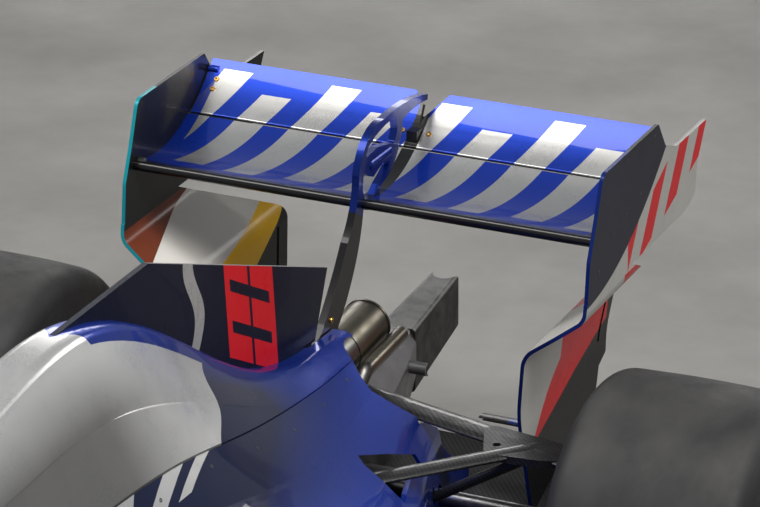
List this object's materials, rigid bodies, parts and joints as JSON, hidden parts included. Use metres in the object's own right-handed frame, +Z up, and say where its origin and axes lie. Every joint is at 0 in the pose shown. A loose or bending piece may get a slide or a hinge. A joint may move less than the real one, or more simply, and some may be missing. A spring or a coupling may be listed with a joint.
{
  "type": "open wheel racing car",
  "caption": "Single-seat open wheel racing car with front and rear wings, halo, slick tyres, working steering and a hinged rear flap.",
  "frame": {"origin": "on the ground under the middle of the car's box", "axes": "+X to the car's left, +Y to its rear, +Z up"},
  "size_m": [2, 5.662, 1.098],
  "materials": {
    "tyre": "matt slick rubber",
    "rim_alloy": "dark forged alloy, satin",
    "exhaust_steel": "heat tinted bare steel",
    "dark_steel": "dark machined steel",
    "cast_alloy": "cast alloy",
    "lamp_red": "red lens",
    "foam_cover": "dark foam cover",
    "plank": "dark laminated plank",
    "carbon": "carbon weave under clear lacquer",
    "navy_paint": "dark navy lacquer",
    "blue_paint": "metallic blue lacquer"
  },
  "bodies": {
    "root": {"monocoque": "blue_paint", "nose_cone": "blue_paint", "front_wing_main": "blue_paint", "front_wing_flaps": "carbon", "front_wing_endplates": "navy_paint", "halo": "carbon", "headrest": "foam_cover", "seat": "carbon", "column_bearing": "dark_steel", "sidepods": "blue_paint", "roll_hoop": "blue_paint", "engine_cover": "blue_paint", "side_covers": "blue_paint", "cover_fin": "navy_paint", "floor_panel": "carbon", "plank": "plank", "diffuser": "carbon", "bargeboards": "carbon", "mirrors": "blue_paint", "engine_block": "cast_alloy", "gearbox": "cast_alloy", "tail_structure": "carbon", "rain_light": "lamp_red", "exhaust": "exhaust_steel", "rear_wing_main": "blue_paint", "rear_wing_endplates": "navy_paint", "wing_pylon": "carbon", "front_arms": "carbon", "rear_arms": "carbon", "rear_uprights": "carbon"},
    "steering_wheel": {"steering_wheel": "carbon"},
    "steering_rack": {"steering_rack": "dark_steel"},
    "rear_flap": {"rear_wing_flap": "blue_paint"},
    "front_upright_left": {"front_upright_left": "carbon"},
    "front_wheel_left": {"rim_front_left": "rim_alloy", "tyre_front_left": "tyre"},
    "rear_wheel_left": {"rim_rear_left": "rim_alloy", "tyre_rear_left": "tyre", "rear_shaft_left": "dark_steel"},
    "front_upright_right": {"front_upright_right": "carbon"},
    "front_wheel_right": {"rim_front_right": "rim_alloy", "tyre_front_right": "tyre"},
    "rear_wheel_right": {"rim_rear_right": "rim_alloy", "tyre_rear_right": "tyre", "rear_shaft_right": "dark_steel"}
  },
  "joints": [
    {"name": "steer_left", "type": "hinge", "parent": "root", "child": "front_upright_left", "pos_m": [0.7, -1.62, 0.335], "axis": [0, 0, 1], "range_deg": [-18, 18]},
    {"name": "front_wheel_left_spin", "type": "hinge", "parent": "front_upright_left", "child": "front_wheel_left", "pos_m": [0.8475, -1.62, 0.335], "axis": [1, 0, 0], "continuous": true},
    {"name": "rear_wheel_left_spin", "type": "hinge", "parent": "root", "child": "rear_wheel_left", "pos_m": [0.7975, 2.02, 0.335], "axis": [1, 0, 0], "continuous": true},
    {"name": "steer_right", "type": "hinge", "parent": "root", "child": "front_upright_right", "pos_m": [-0.7, -1.62, 0.335], "axis": [0, 0, 1], "range_deg": [-18, 18]},
    {"name": "front_wheel_right_spin", "type": "hinge", "parent": "front_upright_right", "child": "front_wheel_right", "pos_m": [-0.8475, -1.62, 0.335], "axis": [1, 0, 0], "continuous": true},
    {"name": "rear_wheel_right_spin", "type": "hinge", "parent": "root", "child": "rear_wheel_right", "pos_m": [-0.7975, 2.02, 0.335], "axis": [1, 0, 0], "continuous": true},
    {"name": "rack_slide", "type": "slide", "parent": "root", "child": "steering_rack", "axis": [1, 0, 0], "range_m": [-0.034, 0.034]},
    {"name": "steering_wheel_turn", "type": "hinge", "parent": "root", "child": "steering_wheel", "pos_m": [0, -0.79, 0.6], "axis": [0, 0.9703, 0.2419], "range_deg": [-163, 163]},
    {"name": "flap_turn", "type": "hinge", "parent": "root", "child": "rear_flap", "pos_m": [0, 2.56, 0.962], "axis": [-1, 0, 0], "range_deg": [0, 24]}
  ],
  "couplings": [
    {"joint": "steer_right", "follows": "steer_left", "ratio": 1},
    {"joint": "rack_slide", "follows": "steer_left", "m_per_rad": 0.105},
    {"joint": "steering_wheel_turn", "follows": "steer_left", "ratio": 9}
  ]
}
